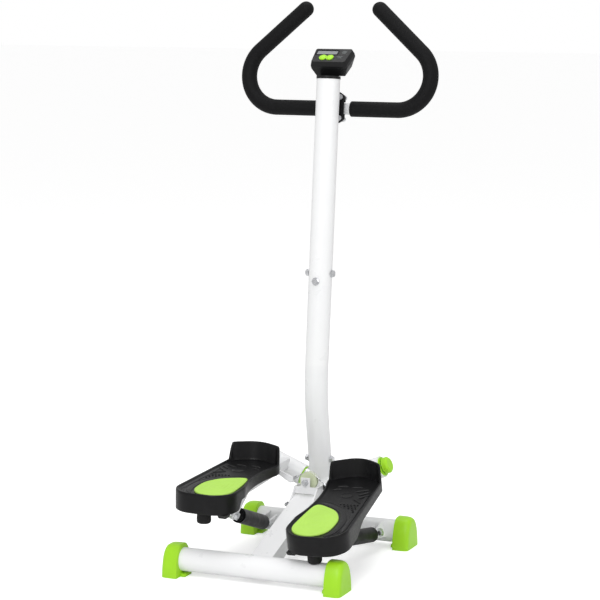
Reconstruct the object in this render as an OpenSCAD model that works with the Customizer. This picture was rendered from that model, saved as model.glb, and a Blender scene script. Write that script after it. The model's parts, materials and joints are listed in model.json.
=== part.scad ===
// Twist stepper with a two-part bent column, bullhorn handlebar and small console.
// Frame: X to the user's right, Y forward away from the user, Z up.
// Origin: on the floor under the centre of the rectangle spanned by the two stabilizers.

/* [Base] */
// Outer diameter of the two stabilizer tubes
stab_d = 50; // [44:1:52]
// Overall length of a stabilizer over its end caps
stab_len = 402; // [390:2:480]
// Distance between the two stabilizer axes
wheelbase = 393; // [385:1:400]
// Height of the stabilizer axes above the floor
stab_z = 34.2; // [33:0.1:36]
// Width of the sloping main beam
beam_w = 50; // [46:1:54]
// Height of the sloping main beam
beam_h = 34; // [30:1:36]
// Slope of the main beam in degrees
beam_slope = 17.9; // [16:0.1:19]

/* [Column] */
// Outer diameter of the post and column tubes
col_d = 50.8; // [48:0.1:52]
// Wall thickness of the steel tubes
wall = 2; // [1.5:0.1:3]
// Backward lean of the post and lower column in degrees
lean_low = 10.1; // [9:0.1:11]
// Forward lean of the upper column in degrees
lean_up = 5.9; // [4:0.1:8]
// Height of the column top above the floor
col_top_z = 1020.6; // [960:1:1060]

/* [Handlebar] */
// Outer diameter of the bare bar
bar_d = 25; // [22:0.5:26]
// Outer diameter of the foam grips
grip_d = 34; // [30:1:38]
// Half length of the lower straight of the bar
bar_half = 141.6; // [120:1:160]
// Radius of the bar bends
bar_r = 71.7; // [60:1:80]
// Angle turned by each bar bend in degrees
bar_turn = 138; // [120:1:145]
// Length of each upper straight, from bend to tip centre
bar_up = 138; // [110:1:160]
// Forward lean of the bar plane in degrees
bar_lean = 9.5; // [6:0.5:12]

/* [Pedals] */
// Upward tilt of the two pivot axes in degrees
axis_tilt = 22; // [20:0.5:24]
// Angle between the lowest and highest pedal position in degrees
stroke = 10; // [8:0.5:11]
// Toe-up pitch of the lowered pedal in degrees
pedal_pitch = 11; // [9:0.5:12]
// Depth of the tray wall below the sole
tray_drop = 39; // [36:1:42]
// Height of the toe wall above the sole
toe_h = 40; // [24:1:44]

/* [Console] */
// Width of the console case
case_w = 84; // [76:1:92]
// Depth of the console case along its sloping face
case_d = 54; // [50:1:58]
// Slope of the display face in degrees
case_tilt = 33; // [28:1:38]

/* [Hidden] */

$fn = 48;
eps = 0.05;                       // gap left between welded or touching pieces
over = 1;                         // overrun of a cutting tool past the face it cuts

// ---- base ----
stab_r = stab_d / 2;
half_y = wheelbase / 2;
cap_len = 36;                     // length of an end cap along the tube
cap_foot = 37;                    // half width of a cap at the floor
cap_top_z = 71;                   // height of the top of a cap
cap_wall_out = 9;                 // thickness of a cap's closed end
tube_half = stab_len / 2 - cap_wall_out;

// Top line of the beam passes through this point
beam_y = 39.8 - half_y;
beam_z = 54.3;
beam_start = 15;                  // rear end of the beam, forward of the stabilizer axis

// ---- column ----
col_r = col_d / 2;
bend_y = 122.7;                   // where the two column centrelines would cross
bend_z = 340;
bend_half = 65;                   // distance from the crossing to each end of the bend
bend_r = bend_half / tan((lean_low + lean_up) / 2);
col_top = (col_top_z - bend_z) / cos(lean_up);    // distance from the crossing to the top
seam_low = (182 - bend_z) / cos(lean_low);        // joint between post and lower column
seam_up = 238;                    // joint between lower and upper column
stub_len = 90;                    // length of the tube-in-tube stubs
stub_r = col_r - wall - eps;
mid_bolt = 264.5;                 // cross bolt of the middle joint
mid_side_bolt = 255;              // bolt on the user's side of the middle joint
low_bolt = seam_low + 11;         // cross bolt of the lower joint
m8 = 4;                           // radius of the M8 bolts
m8_hole = 4.3;

// ---- pivots, built in a frame whose x runs along the right axle ----
piv_y = 171.5;
piv_z = 126;
axle_r = 12;
shoulder_r = 21;
bush_r = 15;
hub_r = 24;
hub_in = 53;                      // where the arm's hub starts along the axle
hub_out = 149;
flange_t = 3;                     // thickness of a bush flange
run_gap = 0.06;                   // radial running clearance
thread_r = 7;
nut_r = 11;
cap_r = 18;

// ---- pedal frame, placed at the lowered position ----
ped_x = 133;
ped_y = -211.1;
ped_z = 122;
ped_yaw = 2;
ped_roll = -1.6;
sole_t = 5;
rim_h = 4;
wall_t = 5;
wall_drop = 20;                   // depth of the tray wall ahead of the heel
toe_drop = 18;
wall_in = [34, 54];               // where the wall rises on the inner side
wall_out = [62, 128];             // and on the outer side
toe_y = 262;                      // start of the toe wall
arm_x0 = -43;                     // inner side of the arm tube in the pedal frame
arm_w = 30;
arm_z0 = -29;                     // underside of the arm tube
arm_h = 20;
arm_y0 = 30;                      // rear end of the arm tube
arm_y1 = 372;                     // front end, inside the hub
tab_y = 298;                      // root of the tab that carries the cable eye
plate_t = 3.9;
plate_x1 = 46;                    // outer end of the cross plates
plate_y = [98, 222];              // places of the two cross plates
screw_x = [4, 34];                // screw columns on the cross plates
bump_r = 16;
bump_z = -63.3;                   // lowest point of the rubber bumper
stop_x = [-56, -36];              // sides of the rubber stop under the inner heel corner
stop_y = [-14, 8];                // its rear and front face
stop_z = -46;

// ---- damper cylinders, in the pivot frame ----
cyl_x = 88.3;                     // plane of the cylinder along the axle
lug_y = -275.5;                   // rod pin with the pedal raised
lug_z = -44.3;
foot_y = -30;                     // pin on the front stabilizer
foot_z = -132;
cyl_r = 16.5;
cyl_body = 205;                   // length from the foot pin to the end of the barrel
rod_r = 5;
rod_len = 120;                    // rod pin to piston face
pin_r = 4.9;
eye_r = 11;
eye_w = 14;
ear_t = 4;
ear_gap = 0.6;                    // side play of an eye between its ears

function turn_y(y, z, a) = y * cos(a) - z * sin(a);
function turn_z(y, z, a) = y * sin(a) + z * cos(a);
// Rod pin at the lowered position
low_y = turn_y(lug_y, lug_z, stroke);
low_z = turn_z(lug_y, lug_z, stroke);
function cyl_len(y, z) = norm([y - foot_y, z - foot_z]);
function cyl_ang(y, z) = atan2(z - foot_z, foot_y - y);

// ---- cable and pulley ----
pul_y = 283 - half_y;
pul_z = 156;
pul_r = 17;
pul_w = 10;
cable_r = 1.6;
brk_y0 = 236 - half_y;            // rear foot of the pulley bracket
brk_y1 = 318 - half_y;
brk_t = 3;

// ---- console ----
con_y = 14;                       // centre of the display face from the column top
con_z = 49.8;
cover_t = 14;
base_t = 22;
base_taper = 8;
base_shift = -6;                  // the base's floor lies nearer the user than its rim
shell = 2;

colour_white = [0.93, 0.93, 0.93];
colour_lime = [0.55, 0.82, 0.12];
colour_pad = [0.68, 0.9, 0.35];
colour_black = [0.08, 0.08, 0.08];
colour_steel = [0.7, 0.71, 0.73];

// ---------------------------------------------------------------- helpers

module both_sides() {
    children();
    mirror([1, 0, 0]) children();
}

// A cylinder from one point to another along +Z of the local frame
module rod(r, z0, z1) {
    translate([0, 0, z0]) cylinder(r = r, h = z1 - z0);
}

// Frame of the lower column: z runs up along its centreline
module low_frame() {
    translate([0, bend_y, bend_z]) rotate([lean_low, 0, 0]) children();
}

// Frame of the upper column
module up_frame() {
    translate([0, bend_y, bend_z]) rotate([-lean_up, 0, 0]) children();
}

// Frame of the right pivot: x runs along the axle
module pivot_frame() {
    translate([0, piv_y, piv_z]) rotate([0, -axis_tilt, 0]) children();
}

// A rod along x of the local frame
module xrod(r, x0, x1) {
    translate([x0, 0, 0]) rotate([0, 90, 0]) cylinder(r = r, h = x1 - x0);
}

// Turns the lowered position into the raised one
module raised() {
    translate([0, piv_y, piv_z]) rotate([0, -axis_tilt, 0]) rotate([-stroke, 0, 0])
        rotate([0, axis_tilt, 0]) translate([0, -piv_y, -piv_z]) children();
}

// The left side is the mirror of the right one, with its pedal raised
module left_raised() {
    mirror([1, 0, 0]) raised() children();
}

// Frame of the right pedal: x outward, y forward, z normal to the sole
module pedal_frame() {
    translate([ped_x, ped_y, ped_z]) rotate([0, 0, ped_yaw]) rotate([pedal_pitch, 0, 0])
        rotate([0, ped_roll, 0]) children();
}

// Axis of the beam's local frame: y runs up the slope, z normal to the top face
module beam_frame() {
    translate([0, beam_y, beam_z]) rotate([beam_slope, 0, 0]) children();
}

// Hexagon nut or head across flats, along z
module hex(flats, h) {
    cylinder(r = flats / 2 / cos(30), h = h, $fn = 6);
}

// ---------------------------------------------------------------- base

module stabilizer(y) {
    color(colour_white) translate([0, y, stab_z]) difference() {
        xrod(stab_r, -tube_half, tube_half);
        xrod(stab_r - wall, -tube_half - over, tube_half + over);
    }
}

module rear_stabilizer_tube() {
    stabilizer(-half_y);
}

module front_stabilizer_tube() {
    stabilizer(half_y);
}

module cap_profile() {
    intersection() {
        hull() {
            translate([0, stab_z]) circle(r = cap_foot - 3, $fn = 64);
            translate([-cap_foot, 0]) square([2 * cap_foot, 8]);
        }
        translate([-cap_foot, 0]) square([2 * cap_foot, cap_top_z]);
    }
}

// Arched cap on the right end of a stabilizer, with a foot reaching under the tube
module end_cap(y) {
    x0 = stab_len / 2 - cap_len;
    color(colour_lime) translate([0, y, 0]) difference() {
        union() {
            intersection() {
                translate([x0, 0, 0]) rotate([90, 0, 90]) linear_extrude(cap_len) cap_profile();
                translate([stab_len / 2 - 190, 0, -over]) cylinder(r = 190, h = 100, $fn = 96);
            }
            translate([x0 - 12, -17, 0]) cube([14, 34, 7]);
        }
        translate([0, 0, stab_z]) xrod(stab_r + eps, 0, tube_half + eps);
    }
}

module end_caps(y) {
    both_sides() end_cap(y);
}

module rear_end_caps() {
    end_caps(-half_y);
}

module front_end_caps() {
    end_caps(half_y);
}

module post_solid(r) {
    low_frame() rod(r, -320, seam_low);
}

module main_beam() {
    color(colour_white) difference() {
        beam_frame() translate([-beam_w / 2, -70, -beam_h]) difference() {
            cube([beam_w, 420, beam_h]);
            translate([wall, -over, wall])
                cube([beam_w - 2 * wall, 420 + 2 * over, beam_h - 2 * wall]);
        }
        translate([0, -half_y, stab_z]) xrod(stab_r + eps, -60, 60);
        translate([-60, -half_y - 100, -50]) cube([120, 100 + beam_start, 200]);
        post_solid(col_r + eps);
        low_frame() translate([-60, 0, -340]) cube([120, 200, 400]);
        bracket_bolt_holes();
        both_sides() pivot_frame() xrod(shoulder_r + eps, 20, 60);
    }
}

module post_tube() {
    color(colour_white) difference() {
        union() {
            post_solid(col_r);
            low_frame() rod(stub_r, seam_low - over, seam_low + stub_len);
        }
        low_frame() rod(col_r - 2 * wall, -400, seam_low + stub_len + over);
        translate([0, half_y, stab_z]) xrod(stab_r + eps, -60, 60);
        translate([-60, half_y, -40]) cube([120, 60, 90]);
        translate([-60, 0, -80]) cube([120, 400, 80 + stab_z - 6]);
        low_frame() translate([0, 0, low_bolt]) xrod(m8_hole, -60, 60);
    }
}

// Right axle with its shoulder, shaped to the post
module pivot_axle() {
    color(colour_steel) difference() {
        pivot_frame() {
            xrod(shoulder_r, 22, 49.5);
            xrod(axle_r, 49, 152.5);
            xrod(thread_r, 152, 165);
        }
        post_solid(col_r + eps);
    }
}

module left_pivot_axle() {
    mirror([1, 0, 0]) pivot_axle();
}

module right_pivot_axle() {
    pivot_axle();
}

module pivot_nut() {
    color(colour_steel) pivot_frame() difference() {
        union() {
            xrod(13.5, 152.6, 154.6);
            translate([154, 0, 0]) rotate([0, 90, 0]) hex(2 * nut_r * cos(30), 9);
        }
        xrod(thread_r + eps, 150, 170);
    }
}

module pivot_nuts() {
    both_sides() pivot_nut();
}

module pivot_cap() {
    color(colour_lime) pivot_frame() difference() {
        union() {
            xrod(cap_r, 154.8, 164);
            translate([164, 0, 0]) rotate([0, 90, 0]) cylinder(r1 = cap_r, r2 = cap_r - 4, h = 4);
        }
        xrod(nut_r + eps, 150, 165.5);
    }
}

module pivot_caps() {
    both_sides() pivot_cap();
}

// Two parallel ears on the sides of an eye, each the hull of its flat children
module ear_pair() {
    pivot_frame() for (s = [-1, 1])
        translate([cyl_x + s * (eye_w / 2 + ear_gap + ear_t / 2) - ear_t / 2, 0, 0])
            rotate([90, 0, 90]) linear_extrude(ear_t) hull() children();
}

// Ears welded to the front stabilizer that carry the foot of a cylinder
module cylinder_bracket() {
    color(colour_white) difference() {
        ear_pair() {
            translate([foot_y, foot_z]) circle(r = eye_r, $fn = 32);
            translate([foot_y + 38, foot_z - 17]) square([6, 34]);
        }
        translate([0, half_y, stab_z]) xrod(stab_r + eps, 60, 180);
        translate([60, half_y, -60]) cube([120, 60, 160]);
        translate([60, half_y - 60, stab_z - stab_r - 60]) cube([120, 60, 60]);
        pivot_frame() translate([0, foot_y, foot_z]) xrod(pin_r + eps, 50, 130);
    }
}

module cylinder_brackets() {
    both_sides() cylinder_bracket();
}

// Pin with a hexagon head and nut through a pair of ears
module eye_pin(y, z) {
    reach = eye_w / 2 + ear_gap + ear_t;
    pivot_frame() translate([cyl_x, y, z]) {
        xrod(pin_r, -reach - 7, reach + 9);
        translate([-reach - 6.5, 0, 0]) rotate([0, 90, 0]) hex(16, 6.4);
        translate([reach + 0.1, 0, 0]) rotate([0, 90, 0]) hex(16, 7);
    }
}

module cylinder_pins() {
    color(colour_steel) both_sides() eye_pin(foot_y, foot_z);
}

// ---------------------------------------------------------------- cylinders

// Frame of a cylinder whose rod pin is at y, z: z runs from the foot pin to the rod pin
module cyl_frame(y, z) {
    pivot_frame() translate([cyl_x, foot_y, foot_z]) rotate([90 - cyl_ang(y, z), 0, 0])
        children();
}

module cylinder_barrel(y, z) {
    color(colour_black) cyl_frame(y, z) difference() {
        union() {
            xrod(eye_r, -eye_w / 2, eye_w / 2);
            rod(6.9, 0, 18);
            rod(cyl_r, 16, cyl_body);
            rod(cyl_r - 3, cyl_body - over, cyl_body + 6);
        }
        xrod(pin_r + run_gap, -eye_w, eye_w);
        rod(cyl_r - 4, 22, cyl_body - 3);
        rod(rod_r + run_gap, cyl_body - 10, cyl_body + 10);
    }
}

module piston_rod(y, z) {
    len = cyl_len(y, z);
    color(colour_steel) cyl_frame(y, z) difference() {
        union() {
            translate([0, 0, len]) xrod(eye_r, -eye_w / 2, eye_w / 2);
            rod(rod_r, len - rod_len, len - 8);
            rod(cyl_r - 4 - run_gap, len - rod_len - 8, len - rod_len + 4);
            rod(7.5, len - 18, len - 9);
        }
        translate([0, 0, len]) xrod(pin_r + 1.2, -eye_w, eye_w);
    }
}

module right_cylinder() {
    cylinder_barrel(low_y, low_z);
}

module left_cylinder() {
    mirror([1, 0, 0]) cylinder_barrel(lug_y, lug_z);
}

module right_piston_rod() {
    piston_rod(low_y, low_z);
}

module left_piston_rod() {
    mirror([1, 0, 0]) piston_rod(lug_y, lug_z);
}

module right_rod_pin() {
    color(colour_steel) eye_pin(low_y, low_z);
}

module left_rod_pin() {
    color(colour_steel) mirror([1, 0, 0]) eye_pin(lug_y, lug_z);
}

// ---------------------------------------------------------------- pulley and cable

// Cross bolt positions of the bracket, in the beam frame
bolt_at = [212, 268];
bolt_drop = 12;

module bracket_bolt_holes() {
    beam_frame() for (y = bolt_at) translate([0, y, -bolt_drop]) xrod(m8_hole, -60, 60);
}

// Saddle bracket over the beam, with a web that carries the pulley bolt
module pulley_bracket() {
    half = beam_w / 2 + eps;
    color(colour_white) difference() {
        union() {
            for (s = [-1, 1]) translate([s * (half + brk_t / 2) - brk_t / 2, 0, 0])
                rotate([90, 0, 90]) linear_extrude(brk_t) polygon([
                    [brk_y0, 98], [brk_y1, 122], [brk_y1, 146], [brk_y0 + 31, 146],
                    [brk_y0, 116]]);
            translate([-half - brk_t, brk_y0 + 27, 131]) cube([2 * half + 2 * brk_t, brk_t, 15]);
            translate([-10, brk_y0 + 27, 140]) cube([20, brk_t, 26]);
        }
        bracket_bolt_holes();
        translate([0, 0, pul_z]) rotate([-90, 0, 0]) rod(m8_hole, -half_y, half_y);
        beam_frame() translate([-half, 0, -beam_h]) cube([2 * half, 400, beam_h + eps]);
        post_solid(col_r + 1);
    }
}

module bracket_bolts() {
    reach = beam_w / 2 + brk_t + eps;
    color(colour_steel) {
        beam_frame() for (y = bolt_at) translate([0, y, -bolt_drop]) {
            xrod(m8, -reach - 12, reach + 3);
            translate([reach + 0.1, 0, 0]) rotate([0, 90, 0]) hex(13, 5.5);
            translate([-reach - 7, 0, 0]) rotate([0, 90, 0]) hex(13, 6.9);
        }
        translate([0, 0, pul_z]) rotate([-90, 0, 0]) {
            rod(m8, brk_y0 + 20, pul_y + 12);
            translate([0, 0, brk_y0 + 21]) hex(13, 5.9);
            translate([0, 0, pul_y + pul_w / 2 + 0.5]) hex(13, 6);
        }
    }
}

module cable_pulley() {
    groove = pul_r + cable_r * 0.2;
    color([0.85, 0.87, 0.8]) translate([0, pul_y, pul_z]) rotate([90, 0, 0]) difference() {
        rod(pul_r + 3, -pul_w / 2, pul_w / 2);
        rotate_extrude($fn = 64) translate([pul_r + cable_r + 0.1, 0]) circle(r = cable_r + 0.1);
        rotate_extrude($fn = 64) translate([groove + cable_r, -cable_r])
            square([6, 2 * cable_r]);
        rod(m8 + run_gap, -pul_w, pul_w);
    }
}

// Cable pins stand on the inner side of the arms: across and up, lowered and raised
pin_low = [49, 141];
pin_up = [43.4, 154.7];
eye_out = 7;                      // outer radius of the cable eye on an arm
wrap_r = pul_r + cable_r + 0.1;   // radius of the cable's centreline on the pulley

function pin_dist(p) = norm([p[0], p[1] - pul_z]);
function pin_angle(p) = atan2(p[1] - pul_z, p[0]);
function off_angle(p) = 90 + pin_angle(p) - asin(wrap_r / pin_dist(p));

// Straight run from the right side of the pulley to a cable pin
module cable_run(p) {
    len = sqrt(pow(pin_dist(p), 2) - pow(wrap_r, 2)) - eye_out - 0.3;
    translate([0, pul_y, pul_z]) rotate([0, 90 - off_angle(p), 0]) translate([0, 0, wrap_r])
        xrod(cable_r, eps, len);
}

module pedal_cable() {
    color(colour_steel) {
        cable_run(pin_low);
        mirror([1, 0, 0]) cable_run(pin_up);
        translate([0, pul_y, pul_z]) rotate([90, 0, 0]) rotate([0, 0, off_angle(pin_low)])
            rotate_extrude(angle = 180 - off_angle(pin_up) - off_angle(pin_low), $fn = 90)
                translate([wrap_r, 0]) circle(r = cable_r, $fn = 24);
    }
}

// ---------------------------------------------------------------- column

// Round tube path of the lower column at a given radius
module lower_path(r, z0, z1) {
    low_frame() {
        rod(r, z0, -bend_half);
        translate([0, bend_r, -bend_half]) rotate([90, 0, -90])
            rotate_extrude(angle = lean_low + lean_up, $fn = 200)
                translate([bend_r, 0]) circle(r = r);
    }
    up_frame() rod(r, bend_half, z1);
}

module lower_column() {
    color(colour_white) difference() {
        union() {
            lower_path(col_r, seam_low + eps, seam_up);
            up_frame() rod(stub_r, seam_up - over, seam_up + stub_len);
        }
        lower_path(col_r - wall, seam_low - over, seam_up - 3);
        up_frame() rod(stub_r - wall, seam_up - 4, seam_up + stub_len + over);
        column_bolt_holes();
    }
}

module upper_column() {
    color(colour_white) difference() {
        up_frame() rod(col_r, seam_up + eps, col_top);
        up_frame() rod(col_r - wall, seam_up - over, col_top + over);
        column_bolt_holes();
    }
}

module column_bolt_holes() {
    low_frame() translate([0, 0, low_bolt]) xrod(m8_hole, -60, 60);
    up_frame() translate([0, 0, mid_bolt]) xrod(m8_hole, -60, 60);
    up_frame() translate([0, 0, mid_side_bolt - 2 * m8]) rotate([90, 0, 0]) rod(m8_hole, 0, 60);
}

// Bolt through the column along x, with a low domed head
module cross_bolt() {
    reach = col_r + 0.1;
    xrod(m8, -reach - 9, reach + 1);
    xrod(8.5, reach, reach + 1.6);
    translate([reach + 1.6, 0, 0]) rotate([0, 90, 0]) hex(13, 5);
}

module column_bolts() {
    color(colour_steel) {
        low_frame() translate([0, 0, low_bolt]) cross_bolt();
        up_frame() translate([0, 0, mid_bolt]) cross_bolt();
        up_frame() translate([0, 0, mid_side_bolt - 2 * m8]) rotate([90, 0, 0]) {
            rod(m8, stub_r - 8, col_r + 2);
            rod(8.5, col_r + 0.1, col_r + 1.6);
            translate([0, 0, col_r + 1.6]) hex(13, 5);
        }
    }
}

module cross_nut() {
    reach = col_r + 0.1;
    translate([-reach - 1.6, 0, 0]) rotate([0, 90, 0]) difference() {
        union() {
            cylinder(r = 8.5, h = 1.6);
            translate([0, 0, -6]) hex(13, 6.1);
        }
        rod(m8 + eps, -10, 10);
    }
}

module column_nuts() {
    color(colour_steel) {
        low_frame() translate([0, 0, low_bolt]) cross_nut();
        up_frame() translate([0, 0, mid_bolt]) cross_nut();
    }
}

// ---------------------------------------------------------------- handlebar

// Frame of the bar: x along the lower straight, z up in the bar's plane
module saddle_frame() {
    translate([0, 239, 954.1]) rotate([-bar_lean, 0, 0]) children();
}

module bend_place() {
    translate([bar_half, 0, bar_r]) rotate([90, 90, 0]) children();
}

// Position of the end of the right bend, with x then pointing back along the upper straight
module upper_place() {
    translate([bar_half + bar_r * sin(bar_turn), 0, bar_r * (1 - cos(bar_turn))])
        rotate([0, -bar_turn, 0]) children();
}

// The bends are a hair thicker than the straights, which run a little way into them
bend_step = 0.05;
bend_lap = 0.6;

module bar_bend(r) {
    bend_place() rotate_extrude(angle = bar_turn, $fn = 120)
        translate([bar_r, 0]) circle(r = r + bend_step);
}

module bar_sweep(r, x0, up_len) {
    xrod(r, x0, bar_half + bend_lap);
    bar_bend(r);
    upper_place() xrod(r, -bend_lap, up_len);
}

module full_bar(r, up_len) {
    xrod(r, -bar_half - bend_lap, bar_half + bend_lap);
    both_sides() {
        bar_bend(r);
        upper_place() xrod(r, -bend_lap, up_len);
    }
}

module handlebar_tube() {
    color(colour_white) saddle_frame() difference() {
        full_bar(bar_d / 2, bar_up - 10);
        full_bar(bar_d / 2 - wall, bar_up - 10 + over);
    }
}

grip_start = 36;
module grip() {
    color(colour_black) saddle_frame() difference() {
        union() {
            bar_sweep(grip_d / 2, grip_start, bar_up);
            upper_place() translate([bar_up, 0, 0]) sphere(r = grip_d / 2 - bend_step);
        }
        bar_sweep(bar_d / 2 + eps, grip_start - over, bar_up - 10 + 2 * over);
    }
}

module left_grip() {
    mirror([1, 0, 0]) grip();
}

module right_grip() {
    grip();
}

plate_y0 = -24.5;                 // back of the saddle plate behind the bar's centre
plate_half = 26;
hold_half = 14;                   // half width of the parts that close round the bar
saddle_h = 72;
clamp_x = 18;
clamp_z = 23;

module clamp_holes() {
    for (x = [-clamp_x, clamp_x], z = [-clamp_z, clamp_z])
        translate([x, 0, z]) rotate([90, 0, 0]) rod(m8 - 0.7, -20, 40);
}

module plate_outline(inset) {
    intersection() {
        square([2 * plate_half, saddle_h - 2 * inset], center = true);
        circle(r = saddle_h / 2 + 1 - inset, $fn = 64);
    }
}

module handlebar_saddle() {
    color(colour_black) difference() {
        saddle_frame() difference() {
            union() {
                translate([0, plate_y0 + 4, 0]) rotate([90, 0, 0]) linear_extrude(4)
                    plate_outline(0);
                translate([-hold_half, plate_y0, -11]) cube([2 * hold_half, -plate_y0 - 1, 22]);
                translate([-9, plate_y0 - 14, -28]) cube([18, 16, 56]);
            }
            xrod(bar_d / 2 + eps, -40, 40);
            clamp_holes();
        }
        up_frame() rod(col_r + eps, 500, 700);
    }
}

module handlebar_clamp() {
    outer = bar_d / 2 + 3;
    front = plate_y0 + 7.5;
    color(colour_black) saddle_frame() difference() {
        union() {
            xrod(outer, -hold_half, hold_half);
            translate([-hold_half, front, -outer]) cube([2 * hold_half, -front, 2 * outer]);
            translate([0, front + 3.5, 0]) rotate([90, 0, 0]) linear_extrude(3.5)
                plate_outline(1.5);
        }
        xrod(bar_d / 2 + eps, -40, 40);
        translate([-40, -30, -bar_d / 2 - eps]) cube([80, 30, bar_d + 2 * eps]);
        clamp_holes();
    }
}

module clamp_bolts() {
    color(colour_steel) saddle_frame()
        for (x = [-clamp_x, clamp_x], z = [-clamp_z, clamp_z])
            translate([x, plate_y0 - 0.05, z]) rotate([-90, 0, 0]) {
                rod(m8 - 1, -1, 24);
                rod(6, -3.5, 0);
            }
}

module clamp_nuts() {
    color(colour_steel) saddle_frame()
        for (x = [-clamp_x, clamp_x], z = [-clamp_z, clamp_z])
            translate([x, plate_y0 + 11.1, z]) rotate([-90, 0, 0]) difference() {
                union() {
                    hex(12, 7);
                    rod(5.4, 6, 14);
                }
                rod(m8 - 1 + eps, -1, 13);
            }
}

// ---------------------------------------------------------------- console

module top_frame() {
    up_frame() translate([0, 0, col_top]) children();
}

// Frame of the display: y up the slope, z normal to it
module face_frame() {
    translate([0, bend_y + col_top * sin(lean_up) + con_y,
        bend_z + col_top * cos(lean_up) + con_z]) rotate([case_tilt, 0, 0]) children();
}

module case_outline(inset) {
    w = case_w / 2 - inset;
    d = case_d / 2 - inset;
    corner = 5 - inset / 3;
    hull() for (x = [-1, 1], y = [-1, 1])
        translate([x * (w - corner + (y > 0 ? 3 : 0)), y * (d - corner)])
            circle(r = corner, $fn = 32);
}

module column_cap() {
    color(colour_black) difference() {
        union() {
            top_frame() {
                rod(col_r + 0.8, 0.05, 6);
                rod(col_r - wall - 0.1, -22, 0.06);
            }
            difference() {
                top_frame() translate([-14, -4, 5]) cube([28, 28, 40]);
                face_frame() translate([-60, -60, -cover_t - base_t - eps])
                    cube([120, 120, 120]);
            }
        }
        top_frame() rod(7, -30, 60);
    }
}

module console_base() {
    color(colour_black) face_frame() difference() {
        hull() {
            translate([0, 0, -cover_t - 3]) linear_extrude(3 - eps) case_outline(0);
            translate([0, base_shift, -cover_t - base_t]) linear_extrude(1)
                case_outline(base_taper);
        }
        hull() {
            translate([0, 0, -cover_t - 3]) linear_extrude(4) case_outline(shell);
            translate([0, base_shift, -cover_t - base_t + shell]) linear_extrude(1)
                case_outline(base_taper + shell);
        }
        translate([14, 0, -cover_t - base_t - over]) cylinder(r = 12.1, h = 5);
        translate([-8, 0, -cover_t - base_t - over]) cylinder(r = 4, h = 5);
    }
}

screen = [-36, 12, 4, 18];        // window: left, right, bottom and top on the face
button_at = [-8, -8];

module console_cover() {
    color(colour_black) face_frame() difference() {
        hull() {
            translate([0, 0, -cover_t]) linear_extrude(4) case_outline(0);
            translate([0, 1, -1]) linear_extrude(1) case_outline(3);
        }
        translate([0, 0, -cover_t - over]) linear_extrude(cover_t - shell - 0.5 + over)
            case_outline(4.5);
        translate([screen[0], screen[2], -5])
            cube([screen[1] - screen[0], screen[3] - screen[2], 10]);
        button_shape(0.4, -6, 3);
    }
}

// Twin oval button outline, as two overlapping discs
module button_shape(grow, z0, z1) {
    for (s = [-1, 1]) translate([button_at[0] + s * 8, button_at[1], z0])
        cylinder(r = 8.5 + grow, h = z1 - z0);
}

module display_lens() {
    color([0.2, 0.24, 0.26, 0.6]) face_frame()
        translate([screen[0] + eps, screen[2] + eps, -1.5])
            cube([screen[1] - screen[0] - 2 * eps, screen[3] - screen[2] - 2 * eps, 1.2]);
}

module lcd_panel() {
    color([0.45, 0.5, 0.46]) face_frame() translate([screen[0] + 1, screen[2] + 1, -4.6])
        cube([screen[1] - screen[0] - 2, screen[3] - screen[2] - 2, 2.6]);
}

// Travels 1 mm inward on its spring contact
module console_button() {
    color(colour_lime) face_frame() button_shape(0, -4, 1.6);
}

module circuit_board() {
    color([0.1, 0.35, 0.2]) face_frame() translate([-27, -18, -9]) cube([54, 36, 1.6]);
}

module button_cell() {
    color(colour_steel) face_frame() translate([14, 0, -cover_t - base_t + shell + 0.6])
        cylinder(r = 10, h = 5);
}

module battery_door() {
    color(colour_black) face_frame() translate([14, 0, -cover_t - base_t])
        cylinder(r = 12, h = 2);
}

// ---------------------------------------------------------------- sensor

lead_y = 12;                      // the lead passes in front of the cross bolts
module sensor_lead() {
    color(colour_black) {
        up_frame() translate([0, lead_y, 0]) {
            rod(1.5, seam_up + 20, col_top - 30);
            rod(4, seam_up, seam_up + 20);
        }
    }
}

module reed_sensor() {
    color(colour_black) translate([beam_w / 2 + brk_t + 2 * eps, 98, 136])
        cube([28, 20, 10]);
}

// ---------------------------------------------------------------- pedals

// Outline of the tray seen from above, shrunk by an inset
module tray_outline(inset) {
    difference() {
        hull() {
            translate([-15, 24]) circle(r = 49 - inset, $fn = 64);
            translate([22, 24]) circle(r = 49 - inset, $fn = 64);
            translate([-35, toe_y]) circle(r = 26 - inset, $fn = 48);
            translate([33, toe_y]) circle(r = 26 - inset, $fn = 48);
            translate([0, 248]) circle(r = 55 - inset, $fn = 64);
        }
        translate([-393, 165]) circle(r = 343 + inset, $fn = 96);
    }
}

module tray_block(inset, z0, z1) {
    translate([0, 0, z0]) linear_extrude(z1 - z0) tray_outline(inset);
}

// Cuts the wall shallower ahead of the heel, between two places along the tray
module wall_cut(x0, x1, y0, y1) {
    deep = -tray_drop - 20;
    translate([x0, 0, 0]) rotate([90, 0, 90]) linear_extrude(x1 - x0) polygon([
        [y0, -tray_drop], [y0, deep], [340, deep], [340, -toe_drop], [y1, -wall_drop]]);
}

module screw_holes(r, z0, z1) {
    for (x = screw_x, y = plate_y) translate([x, y, 0]) rod(r, z0, z1);
}

plate_top = arm_z0 + arm_h + plate_t;

// Block over the stop's footprint, drawn in by a margin
module stop_block(z0, z1, margin = 0) {
    translate([stop_x[0] + margin, stop_y[0] + margin, z0])
        cube([stop_x[1] - stop_x[0] - 2 * margin, stop_y[1] - stop_y[0] - 2 * margin, z1 - z0]);
}

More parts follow.
